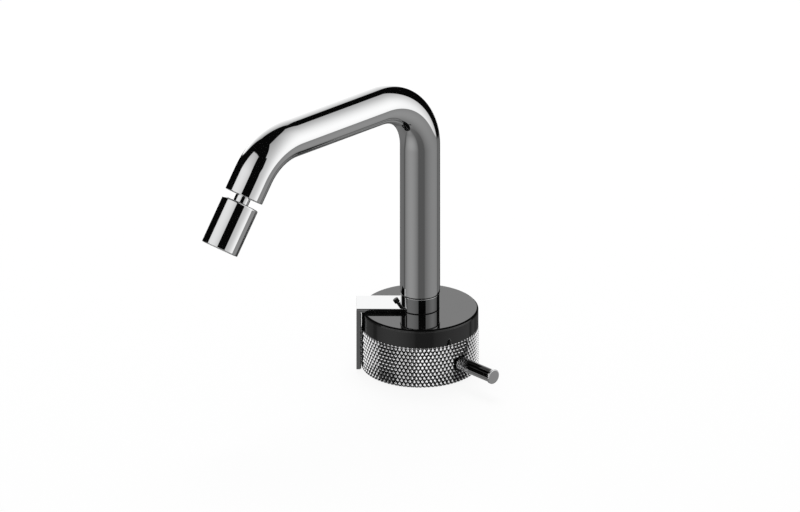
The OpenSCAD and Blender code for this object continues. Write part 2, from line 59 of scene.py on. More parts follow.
def wear_group():
    """Node group: fine cloudy noise that moves a roughness up and down, and a low grain height."""
    group = bpy.data.node_groups.new("surface_wear", "ShaderNodeTree")
    face = group.interface
    face.new_socket("Place", in_out="INPUT", socket_type="NodeSocketVector")
    for socket in ("Roughness", "Spread", "Cloud size", "Grain size"):
        face.new_socket(socket, in_out="INPUT", socket_type="NodeSocketFloat")
    for socket in ("Roughness", "Grain"):
        face.new_socket(socket, in_out="OUTPUT", socket_type="NodeSocketFloat")
    nodes, link = group.nodes, group.links.new
    entry, leave = nodes.new("NodeGroupInput"), nodes.new("NodeGroupOutput")
    cloud, grain = nodes.new("ShaderNodeTexNoise"), nodes.new("ShaderNodeTexNoise")
    cloud.inputs["Detail"].default_value = 3.0
    centred, moved = nodes.new("ShaderNodeMath"), nodes.new("ShaderNodeMath")
    centred.operation, moved.operation = "SUBTRACT", "MULTIPLY_ADD"
    centred.inputs[1].default_value = 0.5
    for noise, size in ((cloud, "Cloud size"), (grain, "Grain size")):
        link(entry.outputs["Place"], noise.inputs["Vector"])
        link(entry.outputs[size], noise.inputs["Scale"])
    link(cloud.outputs["Fac"], centred.inputs[0])
    link(centred.outputs[0], moved.inputs[0])
    link(entry.outputs["Spread"], moved.inputs[1])
    link(entry.outputs["Roughness"], moved.inputs[2])
    link(moved.outputs[0], leave.inputs["Roughness"])
    link(grain.outputs["Fac"], leave.inputs["Grain"])
    return group


surface_wear = wear_group()


def worn(nodes, link, shader, roughness, spread, cloud, grain, height):
    """Places the wear group in a material: cloudy roughness, and a bump if a height is given."""
    wear = nodes.new("ShaderNodeGroup")
    wear.node_tree = surface_wear
    link(object_place(nodes), wear.inputs["Place"])
    values = {"Roughness": roughness, "Spread": spread, "Cloud size": cloud, "Grain size": grain}
    for socket, value in values.items():
        wear.inputs[socket].default_value = value
    link(wear.outputs["Roughness"], shader.inputs["Roughness"])
    if height:
        bump = nodes.new("ShaderNodeBump")
        bump.inputs["Distance"].default_value = height
        bump.inputs["Strength"].default_value = 0.5
        link(wear.outputs["Grain"], bump.inputs["Height"])
        link(bump.outputs["Normal"], shader.inputs["Normal"])


def colour_mix(nodes, link, share, first, second):
    """Mixes two colour sockets by the share of the second one."""
    mixed = nodes.new("ShaderNodeMix")
    mixed.data_type = "RGBA"
    ends = [socket for socket in mixed.inputs if socket.type == "RGBA"]
    for source, socket in zip((share, first, second), (mixed.inputs["Factor"], *ends)):
        link(source, socket)
    return next(socket for socket in mixed.outputs if socket.type == "RGBA")


def tint_group():
    """Node group: noise that mixes a dark and a light colour."""
    group = bpy.data.node_groups.new("cloudy_tint", "ShaderNodeTree")
    face = group.interface
    face.new_socket("Place", in_out="INPUT", socket_type="NodeSocketVector")
    face.new_socket("Cloud size", in_out="INPUT", socket_type="NodeSocketFloat")
    for socket in ("Dark", "Light"):
        face.new_socket(socket, in_out="INPUT", socket_type="NodeSocketColor")
    face.new_socket("Color", in_out="OUTPUT", socket_type="NodeSocketColor")
    nodes, link = group.nodes, group.links.new
    entry, leave = nodes.new("NodeGroupInput"), nodes.new("NodeGroupOutput")
    cloud = nodes.new("ShaderNodeTexNoise")
    link(entry.outputs["Place"], cloud.inputs["Vector"])
    link(entry.outputs["Cloud size"], cloud.inputs["Scale"])
    link(colour_mix(nodes, link, cloud.outputs["Fac"], entry.outputs["Dark"], entry.outputs["Light"]),
         leave.inputs["Color"])
    return group


cloudy_tint = tint_group()


def tinted(nodes, link, shader, cloud, dark, light, place=None):
    """Places the tint group in a material, as its base colour. The colours are red, green, blue."""
    tint = nodes.new("ShaderNodeGroup")
    tint.node_tree = cloudy_tint
    link(place or object_place(nodes), tint.inputs["Place"])
    tint.inputs["Cloud size"].default_value = cloud
    tint.inputs["Dark"].default_value, tint.inputs["Light"].default_value = (*dark, 1), (*light, 1)
    link(tint.outputs["Color"], shader.inputs["Base Color"])


def turned_brass():
    """Brass with lathe rings, a fine wave along the height, and a cloudy tint."""
    made, shader, nodes, link = shader_links("turned_brass")
    shader.inputs["Metallic"].default_value = 1.0
    worn(nodes, link, shader, 0.24, 0.12, 160.0, 2600.0, 0.0)
    rings = nodes.new("ShaderNodeTexWave")
    rings.wave_type, rings.bands_direction = "BANDS", "Z"
    rings.inputs["Scale"].default_value = 900.0
    rings.inputs["Distortion"].default_value = 0.4
    link(object_place(nodes), rings.inputs["Vector"])
    bump = nodes.new("ShaderNodeBump")
    bump.inputs["Distance"].default_value = 0.00002
    bump.inputs["Strength"].default_value = 0.4
    link(rings.outputs["Fac"], bump.inputs["Height"])
    link(bump.outputs["Normal"], shader.inputs["Normal"])
    tinted(nodes, link, shader, 90.0, (0.60, 0.42, 0.17), (0.74, 0.56, 0.27))
    return made


def dress(material, *names):
    """Gives CAD nodes one material, in place of the slots that they came with."""
    for name in names:
        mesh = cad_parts[name].data
        mesh.materials.clear()
        mesh.materials.append(material)


brass = turned_brass()
dress(brass, "base_body", "centre_post", "ring_drive", "flow_sleeve", "spout_foot", "clamp_ring")

# Rubber: the gasket under the base, the round seals in their grooves and the washer at
# the strainer are moulded black rubber, dull, with a fine grain from the mould.


def moulded_rubber():
    """Black rubber: rough, with a fine cloud of lighter bloom."""
    made, shader, nodes, link = shader_links("moulded_rubber")
    worn(nodes, link, shader, 0.62, 0.2, 220.0, 3200.0, 0.00002)
    tinted(nodes, link, shader, 140.0, (0.012, 0.012, 0.012), (0.035, 0.035, 0.034))
    return made


rubber = moulded_rubber()
dress(rubber, "base_gasket", "port_seals", "post_seals", "drive_seal", "sleeve_seal", "stem_seal",
      "aerator_washer")

# Ceramic discs: the fixed port disc and the turning mixing disc are pressed, fired and
# lapped flat, off-white with a faint speckle.


def lapped_ceramic():
    """Off-white ceramic: smooth, with a faint speckle in its colour."""
    made, shader, nodes, link = shader_links("lapped_ceramic")
    worn(nodes, link, shader, 0.16, 0.06, 300.0, 2600.0, 0.000004)
    tinted(nodes, link, shader, 1600.0, (0.74, 0.72, 0.68), (0.84, 0.83, 0.80))
    return made


ceramic = lapped_ceramic()
dress(ceramic, "port_disc", "mixing_disc")

# White plastic: the seat that presses the ball into its socket, and the perforated insert
# at the outlet, are moulded in a white, slightly waxy plastic.


def white_plastic():
    """White plastic: matte, a little waxy, with fine marks."""
    made, shader, nodes, link = shader_links("white_plastic")
    worn(nodes, link, shader, 0.42, 0.12, 260.0, 2800.0, 0.000008)
    tinted(nodes, link, shader, 60.0, (0.70, 0.70, 0.68), (0.78, 0.78, 0.77))
    return made


plastic = white_plastic()
dress(plastic, "seat_ring", "aerator_insert")

# Slip rings: the washer under the neck, the ring under the spout and the glide ring are
# turned from black low-friction plastic, so that they show only as thin dark lines.


def slip_plastic():
    """Black plastic: satin, with a faint grey cloud in its colour."""
    made, shader, nodes, link = shader_links("slip_plastic")
    worn(nodes, link, shader, 0.38, 0.12, 260.0, 2800.0, 0.000008)
    tinted(nodes, link, shader, 180.0, (0.010, 0.010, 0.011), (0.022, 0.022, 0.023))
    return made


black_plastic = slip_plastic()
dress(black_plastic, "thrust_washer", "slip_ring", "glide_ring")

# Steel small parts: screws, the split clip and the strainer are plain stainless steel,
# left as rolled or turned, with short drawn marks.


def plain_steel():
    """Stainless steel: noise stretched along Z gives the drawn marks."""
    made, shader, nodes, link = shader_links("plain_steel")
    shader.inputs["Metallic"].default_value = 1.0
    worn(nodes, link, shader, 0.26, 0.1, 300.0, 3000.0, 0.0)
    stretch = nodes.new("ShaderNodeMapping")
    stretch.inputs["Scale"].default_value = (1.0, 1.0, 0.06)
    link(object_place(nodes), stretch.inputs["Vector"])
    tinted(nodes, link, shader, 2400.0, (0.42, 0.42, 0.43), (0.58, 0.58, 0.58), stretch.outputs["Vector"])
    return made


steel = plain_steel()
dress(steel, "ring_screws", "strap_screws", "spout_screw", "stem_clip", "strainer")

# Flow regulator: a small disc moulded in green plastic, as such discs are coloured by
# the flow that they let through.


def green_plastic():
    """Green plastic: glossy, slightly uneven in colour."""
    made, shader, nodes, link = shader_links("green_plastic")
    worn(nodes, link, shader, 0.22, 0.08, 300.0, 2600.0, 0.0)
    tinted(nodes, link, shader, 120.0, (0.06, 0.30, 0.15), (0.10, 0.40, 0.22))
    return made


green = green_plastic()
dress(green, "flow_regulator")

# Spout tube: a brass tube bent twice over a former, which keeps it round, then polished
# and chromed. It turns by hand on the post, and a screw at its back holds its foot.

mm = 0.001
tube_r, tube_in_r, bend_r = 10 * mm, 8.5 * mm, 30 * mm
tube_z, spout_h, arm_l, nozzle_l = 40.5 * mm, 150 * mm, 57.8 * mm, 11.6 * mm
nozzle_pitch = math.radians(55.33)
riser_l = spout_h - bend_r - tube_z
run_lengths = np.cumsum([0, riser_l, bend_r * math.pi / 2, arm_l, bend_r * nozzle_pitch, nozzle_l])


def spout_path(s):
    """Centre and the two section directions of the spout's centre line at the lengths s.
    Straight up, a quarter circle, straight along -Y, a circle of the nozzle's pitch, then straight."""
    s = np.asarray(s, float)
    t0, t1, t2, t3 = run_lengths[1:5]
    up = np.clip(s, 0, t0)
    a = np.clip((s - t0) / bend_r, 0, math.pi / 2)
    level = np.clip(s - t1, 0, arm_l)
    b = np.clip((s - t2) / bend_r, 0, nozzle_pitch)
    down = np.clip(s - t3, 0, None)
    angle = a + b
    y = -bend_r * (1 - np.cos(a)) - level - bend_r * np.sin(b) - down * math.cos(nozzle_pitch)
    z = tube_z + up + bend_r * np.sin(a) - bend_r * (1 - np.cos(b)) - down * math.sin(nozzle_pitch)
    centre = np.stack([np.zeros_like(s), y, z], -1)
    tangent = np.stack([np.zeros_like(s), -np.sin(angle), np.cos(angle)], -1)
    side = np.stack([np.ones_like(s), np.zeros_like(s), np.zeros_like(s)], -1)
    return centre, side, np.cross(tangent, side)


def rounded(points, radius, steps=5, closed=False):
    """A polyline with each corner replaced by an arc of the radius, in equal steps. A point
    close outside each arc keeps the flats beside it flat when the surface is shaded smooth."""
    points, support, nearly_straight = np.asarray(points, float), 0.12 * mm, math.radians(89)
    count = len(points)
    made = []
    for i in range(count):
        p = points[i]
        if not closed and i in (0, count - 1):
            made.append(p[None])
            continue
        before, after = points[i - 1] - p, points[(i + 1) % count] - p
        la, lb = np.linalg.norm(before), np.linalg.norm(after)
        before, after = before / la, after / lb
        half = math.acos(np.clip(before @ after, -1, 1)) / 2
        if half > nearly_straight:
            made.append(p[None])
            continue
        r = radius[i] if np.ndim(radius) else radius
        cut = min(r / math.tan(half), 0.45 * la, 0.45 * lb)
        r = cut * math.tan(half)
        middle = (before + after) / np.linalg.norm(before + after)
        hub = p + middle * (r / math.sin(half))
        start, end = p + before * cut, p + after * cut
        turn = np.linspace(0, 1, steps + 1)[:, None]
        u, v = (start - hub) / r, (end - hub) / r
        wide = math.acos(np.clip(u @ v, -1, 1))
        arc = hub + r * (np.sin((1 - turn) * wide) * u + np.sin(turn * wide) * v) / math.sin(wide)
        room = min(support, 0.04 * min(la, lb))
        made.append(np.concatenate([[start + before * room], arc, [end + after * room]]))
    return np.concatenate(made)


def turned(name, profile, place, segments=128, closed=True):
    """A surface turned round a line: point = centre(s) + r (cos t U + sin t V), where the profile
    is rows of (s, r), place(s) gives the centre, U and V, and t goes once round."""
    profile = np.asarray(profile, float)
    centre, u, v = place(profile[:, 0])
    t = np.linspace(0, 2 * math.pi, segments, endpoint=False)
    ring = np.cos(t)[None, :, None] * u[:, None] + np.sin(t)[None, :, None] * v[:, None]
    points = centre[:, None] + profile[:, 1, None, None] * ring
    return lofted(name, points, closed)


def grid_corners(rows, columns, closed_rows=True):
    """The four corners of each face in a grid of points. The columns of a row close to a ring, and
    the last row joins the first one if the rows are closed."""
    i = np.arange(rows if closed_rows else rows - 1)[:, None]
    j = np.arange(columns)[None]
    above, beside = (i + 1) % rows, (j + 1) % columns
    return i * columns + j, i * columns + beside, above * columns + beside, above * columns + j


def lofted(name, points, closed_rows=True):
    """A mesh from a grid of points, rows by columns. A row of no size closes to a point when the
    doubles are merged, and the faces are then turned outwards."""
    faces = np.stack(grid_corners(*points.shape[:2], closed_rows), -1).reshape(-1, 4)
    return meshed(name, points.reshape(-1, 3), faces)


sharp_angle = math.radians(32)


def meshed(name, points, faces):
    """A mesh object from points and faces, with doubles merged, normals outwards and smooth
    shading that breaks where faces meet at more than the sharp angle."""
    mesh = bpy.data.meshes.new(name)
    mesh.from_pydata(points.tolist(), [], faces if isinstance(faces, list) else faces.tolist())
    work = bmesh.new()
    work.from_mesh(mesh)
    bmesh.ops.remove_doubles(work, verts=work.verts, dist=1e-7)
    bmesh.ops.dissolve_degenerate(work, edges=work.edges, dist=1e-8)
    bmesh.ops.recalc_face_normals(work, faces=work.faces)
    work.to_mesh(mesh)
    work.free()
    mesh.shade_smooth()
    mesh.set_sharp_from_angle(angle=sharp_angle)
    made = bpy.data.objects.new(name, mesh)
    bpy.context.scene.collection.objects.link(made)
    return made


def finish_piece(piece, material, body, slot, *nodes):
    """Puts the material on a piece, rides it on its body and lets it stand for its CAD nodes."""
    piece.data.materials.clear()
    piece.data.materials.append(material)
    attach(piece, body)
    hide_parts(*nodes)


def cut_by(piece, cutter):
    """Cuts a closed shape out of a piece for good, and removes the cutter."""
    cut = piece.modifiers.new("cut", "BOOLEAN")
    cut.operation, cut.solver, cut.object = "DIFFERENCE", "EXACT", cutter
    made = bpy.data.meshes.new_from_object(piece.evaluated_get(bpy.context.evaluated_depsgraph_get()))
    piece.modifiers.clear()
    piece.data = made
    made.shade_smooth()
    made.set_sharp_from_angle(angle=sharp_angle)
    bpy.data.objects.remove(cutter)


def along(origin, direction, start=(1, 0, 0)):
    """A place function for turned(): a straight line from the origin along the direction."""
    origin, direction = np.asarray(origin, float), np.asarray(direction, float)
    direction = direction / np.linalg.norm(direction)
    u = np.cross(np.cross(direction, start), direction)
    u = u / np.linalg.norm(u)
    v = np.cross(direction, u)

    def place(s):
        """The centre, U and V at the lengths s."""
        s = np.asarray(s, float)
        centre = origin + s[:, None] * direction
        return centre, np.broadcast_to(u, centre.shape), np.broadcast_to(v, centre.shape)
    return place


def polished_chrome(name, bright):
    """Chrome plate: a near mirror with a faint cloud in its roughness from wiping."""
    made, shader, nodes, link = shader_links(name)
    shader.inputs["Metallic"].default_value = 1.0
    worn(nodes, link, shader, 0.03, 0.02, 70.0, 2600.0, 0.0)
    tinted(nodes, link, shader, 25.0, (bright - 0.03, bright - 0.025, bright - 0.02), (bright,) * 3)
    return made


chrome = polished_chrome("polished_chrome", 0.89)


def tube_profile():
    """The wall of the tube as one closed line of (length, radius): out, over the end, and back. It
    has close steps in both bends and, beside the screw hole, one each millimetre."""
    ends = rounded([(run_lengths[0], tube_in_r), (run_lengths[0], tube_r), (run_lengths[5], tube_r),
                    (run_lengths[5], tube_in_r)], 0.3 * mm, closed=True)
    steps = [np.linspace(run_lengths[1], run_lengths[2], 72), np.linspace(run_lengths[3], run_lengths[4], 48),
             np.arange(run_lengths[0] + 6 * mm, run_lengths[0] + 17 * mm, 1 * mm)]
    stops = np.unique(np.concatenate(steps))
    outer = np.stack([stops, np.full_like(stops, tube_r)], -1)
    inner = np.stack([stops[::-1], np.full_like(stops, tube_in_r)], -1)
    split = int(np.argmax(ends[:, 0] > run_lengths[5] / 2))
    return np.concatenate([ends[:split], outer, ends[split:], inner])


spout_tube = turned("spout_tube_polished", tube_profile(), spout_path, 192)
hole_start, hole_z, hole_l, hole_r = 7 * mm, 51.5 * mm, 6 * mm, 1.65 * mm
screw_hole = turned("screw_hole", [(0, 0), (0, hole_r), (hole_l, hole_r), (hole_l, 0)],
                    along((0, hole_start, hole_z), (0, 1, 0)), 40)
cut_by(spout_tube, screw_hole)
finish_piece(spout_tube, chrome, "spout", "chrome", "spout_tube")

# Neck: a round chromed brass nut, screwed down on the post to hold the cap under it. Its chrome is a darker
# copy, as painted shade. The spout turns on the thin black ring above it.

upright = along((0, 0, 0), (0, 0, 1))
neck_low, neck_top, neck_in_r, neck_r = 32.3 * mm, 40 * mm, 6.5 * mm, 9.75 * mm
neck = turned("neck_polished", rounded(
    [(neck_low, neck_in_r), (neck_low, neck_r), (neck_top, neck_r), (neck_top, neck_in_r)],
    0.12 * mm, closed=True), upright, 160)
# The darker chrome copy is painted shade.
finish_piece(neck, polished_chrome("dark_chrome", 0.68), "base", "chrome", "neck_nut")

# Knurled ring: a brass ring, rolled with a diamond knurl over its whole height and then
# chromed. It turns the mixing disc, and the rod screws into it.

ring_low, ring_top, knurl_r = 0.8 * mm, 22.0 * mm, 29.25 * mm
knurl_round, knurl_depth, knurl_tall, crest_cut, knurl_bevel = 85, 0.78 * mm, 3.7 * mm, 0.88, 0.18 * mm
lip_low, lip_top, lip_in_r, ring_in_r, near_bore_r = 17.8 * mm, 20.3 * mm, 22.05 * mm, 26.05 * mm, 26.4 * mm


def knurl_grid():
    """Knurled wall: the angle and height give u = n a / 2 pi + z / p and v = n a / 2 pi - z / p.
    The height of the wall goes with the distance from the nearest whole u or v, and is cut flat at
    the crest."""
    per_half = 4
    columns = knurl_round * 2 * per_half
    rows = int(round((ring_top - ring_low) / (knurl_tall / 2 / per_half))) + 1
    angle = np.arange(columns) * 2 * math.pi / columns
    height = np.linspace(ring_low, ring_top, rows)
    turn = knurl_round * angle / (2 * math.pi)
    u = turn[None] + height[:, None] / knurl_tall
    v = turn[None] - height[:, None] / knurl_tall
    rise = 2 * np.minimum(np.abs(u - np.round(u)), np.abs(v - np.round(v)))
    rise = np.minimum(rise, crest_cut) / crest_cut
    edge = np.minimum(height - ring_low, ring_top - height)[:, None]
    radius = knurl_r - knurl_depth * (1 - rise) - np.clip(knurl_bevel - edge, 0, None)
    return angle, height, radius


def knurled_mesh():
    """The knurled wall, joined by the plain top, bore, lip and bottom into one closed ring. Each
    cell is halved along its lower diagonal, so that the grooves stay straight and the facets flat."""
    angle, height, radius = knurl_grid()
    inner = np.array([
        (ring_top, near_bore_r), (ring_top, ring_in_r), (lip_top, ring_in_r), (lip_top, lip_in_r),
        (lip_low, lip_in_r), (lip_low, ring_in_r), (ring_low, ring_in_r), (ring_low, near_bore_r)])
    z = np.concatenate([height, inner[:, 0]])
    r = np.concatenate([radius, np.repeat(inner[:, 1:], len(angle), 1)])
    points = np.stack([r * np.cos(angle), r * np.sin(angle), np.repeat(z[:, None], len(angle), 1)], -1)
    a, b, c, d = grid_corners(*r.shape)
    flat_r = r.ravel()
    groove = (flat_r[a] + flat_r[c] < flat_r[b] + flat_r[d])[..., None]
    one = np.where(groove, np.stack([a, b, c], -1), np.stack([a, b, d], -1))
    two = np.where(groove, np.stack([a, c, d], -1), np.stack([b, c, d], -1))
    return meshed("knurled_ring_chromed", points.reshape(-1, 3), np.concatenate([one, two]).reshape(-1, 3))


def colour_ramp(nodes, *stops):
    """A ramp node from rows of position, red, green and blue."""
    ramp = nodes.new("ShaderNodeValToRGB")
    elements = ramp.color_ramp.elements
    for element, (place, *colour) in zip(elements, (stops[0], stops[-1])):
        element.position, element.color = place, (*colour, 1)
    for place, *colour in stops[1:-1]:
        elements.new(place).color = (*colour, 1)
    return ramp


def looking_up(nodes, link):
    """How far the surface looks up: the Z of its normal in Object coordinates."""
    parts = nodes.new("ShaderNodeSeparateXYZ")
    link(nodes.new("ShaderNodeTexCoord").outputs["Normal"], parts.inputs[0])
    return parts.outputs["Z"]


def knurl_chrome():
    """Chrome on the knurl, with painted shade in its base colour: bright near the crests and dark in the
    grooves, by the height attribute that the mesh carries, and darker on the facets that look down, as a
    painted contact shadow from the floor."""
    made, shader, nodes, link = shader_links("knurl_chrome")
    shader.inputs["Metallic"].default_value = 0.88
    worn(nodes, link, shader, 0.06, 0.04, 400.0, 3000.0, 0.0)
    # Painted shade: a near black base colour in the grooves, and the facets that look down darkened as a
    # painted contact shadow.
    height, under = nodes.new("ShaderNodeAttribute"), nodes.new("ShaderNodeMapRange")
    height.attribute_name = "knurl_height"
    ramp = colour_ramp(nodes, (0.16, 0.01, 0.01, 0.011), (0.29, 0.95, 0.95, 0.955))
    link(height.outputs["Fac"], ramp.inputs["Fac"])
    link(looking_up(nodes, link), under.inputs["Value"])
    for socket, value in (("From Min", -0.2), ("From Max", 0.05), ("To Min", 0.04), ("To Max", 1.0)):
        under.inputs[socket].default_value = value
    shaded = nodes.new("ShaderNodeVectorMath")
    shaded.operation = "SCALE"
    link(ramp.outputs["Color"], shaded.inputs[0])
    link(under.outputs["Result"], shaded.inputs["Scale"])
    link(shaded.outputs["Vector"], shader.inputs["Base Color"])
    return made


knurled_ring = knurled_mesh()
rod_turn = math.radians(1)
rod_axis = (math.cos(rod_turn), math.sin(rod_turn), 0)
rod_z, rod_seat, rod_reach, rod_r = 10.9 * mm, 28.05 * mm, 53.0 * mm, 3.3 * mm
rod_line = along((0, 0, rod_z), rod_axis, (0, 0, 1))

recess_r, recess_end = 4.1 * mm, 31 * mm
rod_recess = turned("rod_recess", [(rod_seat, 0), (rod_seat, recess_r), (recess_end, recess_r),
                                   (recess_end, 0)], rod_line, 48)
cut_by(knurled_ring, rod_recess)
knurled_ring.data.shade_flat()

# Height over the grooves, as a share of the depth. The plain top and bottom count as crest
spots = np.empty(len(knurled_ring.data.vertices) * 3)
knurled_ring.data.vertices.foreach_get("co", spots)
x, y, z = spots.reshape(-1, 3).T
crest = np.clip((np.hypot(x, y) - (knurl_r - knurl_depth)) / knurl_depth, 0, 1)
crest[(z > ring_top - 0.01 * mm) | (z < ring_low + 0.01 * mm)] = 1
# This height drives the painted groove shade in the knurl's chrome.
knurl_height = knurled_ring.data.attributes.new("knurl_height", "FLOAT", "POINT")
knurl_height.data.foreach_set("value", crest.astype(np.float32))
finish_piece(knurled_ring, knurl_chrome(), "temperature_ring", "knurled_chrome", "knurled_ring")

# Temperature rod: a thin chromed brass rod, screwed into the ring, with a flat head
# pressed on its end.


def rod_chrome():
    """Chrome on the rod, with painted reflections in its base colour. Where it looks up it is painted as dark
    as the cap above it, with one thin painted highlight line, and it clears towards its lower side. Its root
    is a painted mottled grey reflection of the knurl."""
    made, shader, nodes, link = shader_links("rod_chrome")
    shader.inputs["Metallic"].default_value = 1.0
    worn(nodes, link, shader, 0.03, 0.02, 60.0, 2500.0, 0.0)
    # Painted reflection: dark where the rod looks up, for the cap's image, with one thin painted highlight
    # line.
    bands = colour_ramp(nodes, (0.38, 0.89, 0.89, 0.895), (0.47, 0.03, 0.03, 0.031), (0.78, 0.03, 0.03, 0.03),
                        (0.87, 0.16, 0.16, 0.16), (0.96, 0.03, 0.03, 0.03))
    link(looking_up(nodes, link), bands.inputs["Fac"])
    reach, outer = nodes.new("ShaderNodeVectorMath"), nodes.new("ShaderNodeMapRange")
    reach.operation = "LENGTH"
    link(object_place(nodes), reach.inputs[0])
    link(reach.outputs["Value"], outer.inputs["Value"])
    outer.inputs["From Min"].default_value, outer.inputs["From Max"].default_value = 35.5 * mm, 38.5 * mm
    # Painted reflection of the knurl: mottled grey near the rod's root.
    knurl_reflection_noise = nodes.new("ShaderNodeTexNoise")
    knurl_reflection_noise.inputs["Scale"].default_value = 900.0
    link(object_place(nodes), knurl_reflection_noise.inputs["Vector"])
    grey = colour_ramp(nodes, (0.42, 0.12, 0.12, 0.12), (0.58, 0.8, 0.8, 0.8))
    link(knurl_reflection_noise.outputs["Fac"], grey.inputs["Fac"])
    link(colour_mix(nodes, link, outer.outputs["Result"], grey.outputs["Color"], bands.outputs["Color"]),
         shader.inputs["Base Color"])
    return made


screw_r, head_r, pin_r = 2.5 * mm, 3.75 * mm, 1.5 * mm
head_start, pin_end = rod_reach - 1.2 * mm, rod_reach - 0.5 * mm
rod = turned("rod_polished", np.concatenate([[(ring_in_r, 0)], rounded(
    [(ring_in_r, 0), (ring_in_r, screw_r), (rod_seat, screw_r), (rod_seat, rod_r), (head_start, rod_r),
     (head_start, pin_r), (pin_end, pin_r), (pin_end, 0)], 0.12 * mm)]), rod_line, 96, closed=False)
finish_piece(rod, rod_chrome(), "temperature_ring", "chrome", "rod")
rod_head = turned("rod_head_polished", rounded(
    [(head_start, pin_r), (head_start, head_r), (rod_reach, head_r), (rod_reach, 0), (pin_end, 0),
     (pin_end, pin_r)], [0.05 * mm, 0.15 * mm, 0.4 * mm, 1e-6, 1e-6, 0.05 * mm], closed=True), rod_line, 96)
finish_piece(rod_head, chrome, "temperature_ring", "chrome", "rod_head")

# Cap and top plate: a turned brass cap, lacquered gloss black, with a thin black plate
# of the same finish laid on top. The strap's screws clamp them together from inside.


def gloss_black(name, skin_ior, painted_rim_shade):
    """Gloss black lacquer: a deep black under a clear skin, which reflects more with a higher IOR.
    With painted rim shade, what slopes reflects nothing, and so draws a painted dark shade line round the
    flat face."""
    made, shader, nodes, link = shader_links(name)
    shader.inputs["IOR"].default_value = skin_ior
    worn(nodes, link, shader, 0.04, 0.02, 90.0, 2600.0, 0.0)
    tinted(nodes, link, shader, 300.0, (0.002, 0.002, 0.002), (0.005, 0.005, 0.005))
    if painted_rim_shade:
        # Painted shade: the sloping bevel loses its reflection, which draws a dark line round the flat face.
        skin = colour_ramp(nodes, (0.5, 0.5, 0.5, 0.5), (0.62, 0, 0, 0),
                           (0.965, 0, 0, 0), (0.985, 0.5, 0.5, 0.5))
        link(looking_up(nodes, link), skin.inputs["Fac"])
        link(skin.outputs["Color"], shader.inputs["Specular IOR Level"])
    return made


black = gloss_black("gloss_black", 1.9, False)
cap_low, cap_roof, cap_top, cap_in_r, cap_hole_r = 22.3 * mm, 27.3 * mm, 30.76 * mm, 27.2 * mm, 9.2 * mm
plate_low, plate_hole_r, bevel, body_h, body_r = 30.8 * mm, 9.5 * mm, 0.75 * mm, 32 * mm, 29 * mm
cap = turned("cap_lacquered", rounded(
    [(cap_low, cap_in_r), (cap_low, body_r), (cap_top, body_r), (cap_top, cap_hole_r), (cap_roof, cap_hole_r),
     (cap_roof, cap_in_r)], [0.2 * mm, 0.25 * mm, 0.12 * mm, 0.1 * mm, 0.1 * mm, 0.1 * mm],
    closed=True), upright, 256)
finish_piece(cap, black, "flow_lever", "dark_cap", "cap_shell")
plate = turned("top_plate_lacquered", rounded(
    [(plate_low, plate_hole_r), (plate_low, body_r), (body_h - bevel, body_r), (body_h, body_r - bevel),
     (body_h, plate_hole_r)], [0.1 * mm, 0.12 * mm, 0.35 * mm, 0.2 * mm, 0.15 * mm],
    closed=True), upright, 256)
finish_piece(plate, gloss_black("plate_black", 1.9, True), "flow_lever", "dark_cap", "top_plate")

# Flow strap: flat brass strip, bent square over the edge of the cap and chromed. Two
# screws from inside the cap hold it, and its inner end is cut round the neck.

strap_turn = math.radians(227)
strap_w, strap_offset = 17.2 * mm, 1.2 * mm
strap_in, strap_out, strap_top, strap_low = 29.55 * mm, 31.55 * mm, 34 * mm, 1.3 * mm
strap_start, neck_gap_r, low_edge_r, top_edge_r = 4.9 * mm, 10.05 * mm, 0.15 * mm, 0.5 * mm


def strap_point(x, y, z):
    """Points given in the strap's own directions, turned to where the strap stands."""
    return np.stack([x * math.cos(strap_turn) - y * math.sin(strap_turn),
                     x * math.sin(strap_turn) + y * math.cos(strap_turn), z + 0 * x], -1)


def side_inset(across, radius):
    """How far a surface falls back next to the strap's long sides, for a quarter-round edge."""
    side = np.minimum(across - across[0], across[-1] - across)
    return radius - np.sqrt(np.clip(radius ** 2 - np.clip(radius - side, 0, None) ** 2, 0, None))


def strap_section(start, inset, top_inset):
    """The strip's L-shaped section in x and z, drawn in by the insets, with rounded corners."""
    return rounded([(start + inset, body_h + inset), (strap_in + inset, body_h + inset),
                    (strap_in + inset, strap_low + inset), (strap_out - inset, strap_low + inset),
                    (strap_out - inset, strap_top - top_inset), (start + inset, strap_top - top_inset)],
                   [0.12 * mm, 0.2 * mm, 0.12 * mm, 0.12 * mm, 0.25 * mm, 0.12 * mm], closed=True)


def strap_strip():
    """The section carried across the width y. It changes evenly with its three measures, so each
    row is the first section plus its changes. The inner end follows a straight cut or the circle
    round the neck, whichever is further out, and the long sides are closed by flat faces."""
    ends = np.array([-strap_w / 2 - strap_offset, strap_w / 2 - strap_offset])
    near = 0.55 * mm * (1 - np.cos(np.linspace(0, math.pi / 2, 14)))
    across = np.unique(np.concatenate([np.linspace(ends[0], ends[1], 60), ends[0] + near, ends[1] - near]))
    start = np.maximum(strap_start, np.sqrt(np.clip(neck_gap_r ** 2 - across ** 2, 0, None)))
    base, step = strap_section(strap_start, 0, 0), 0.1 * mm
    changes = ((start - strap_start, strap_section(strap_start + step, 0, 0)),
               (side_inset(across, low_edge_r), strap_section(strap_start, step, 0)),
               (side_inset(across, top_edge_r), strap_section(strap_start, 0, step)))
    section = base + sum(amount[:, None, None] * (moved - base) / step for amount, moved in changes)
    rows, count = section.shape[:2]
    points = strap_point(section[..., 0], np.repeat(across[:, None], count, 1), section[..., 1])
    faces = np.stack(grid_corners(rows, count, False), -1).reshape(-1, 4).tolist()
    return points.reshape(-1, 3), faces + [list(range(count)), list(range((rows - 1) * count, rows * count))]


strap = meshed("strap_polished", *strap_strip())
finish_piece(strap, chrome, "flow_lever", "chrome", "strap")
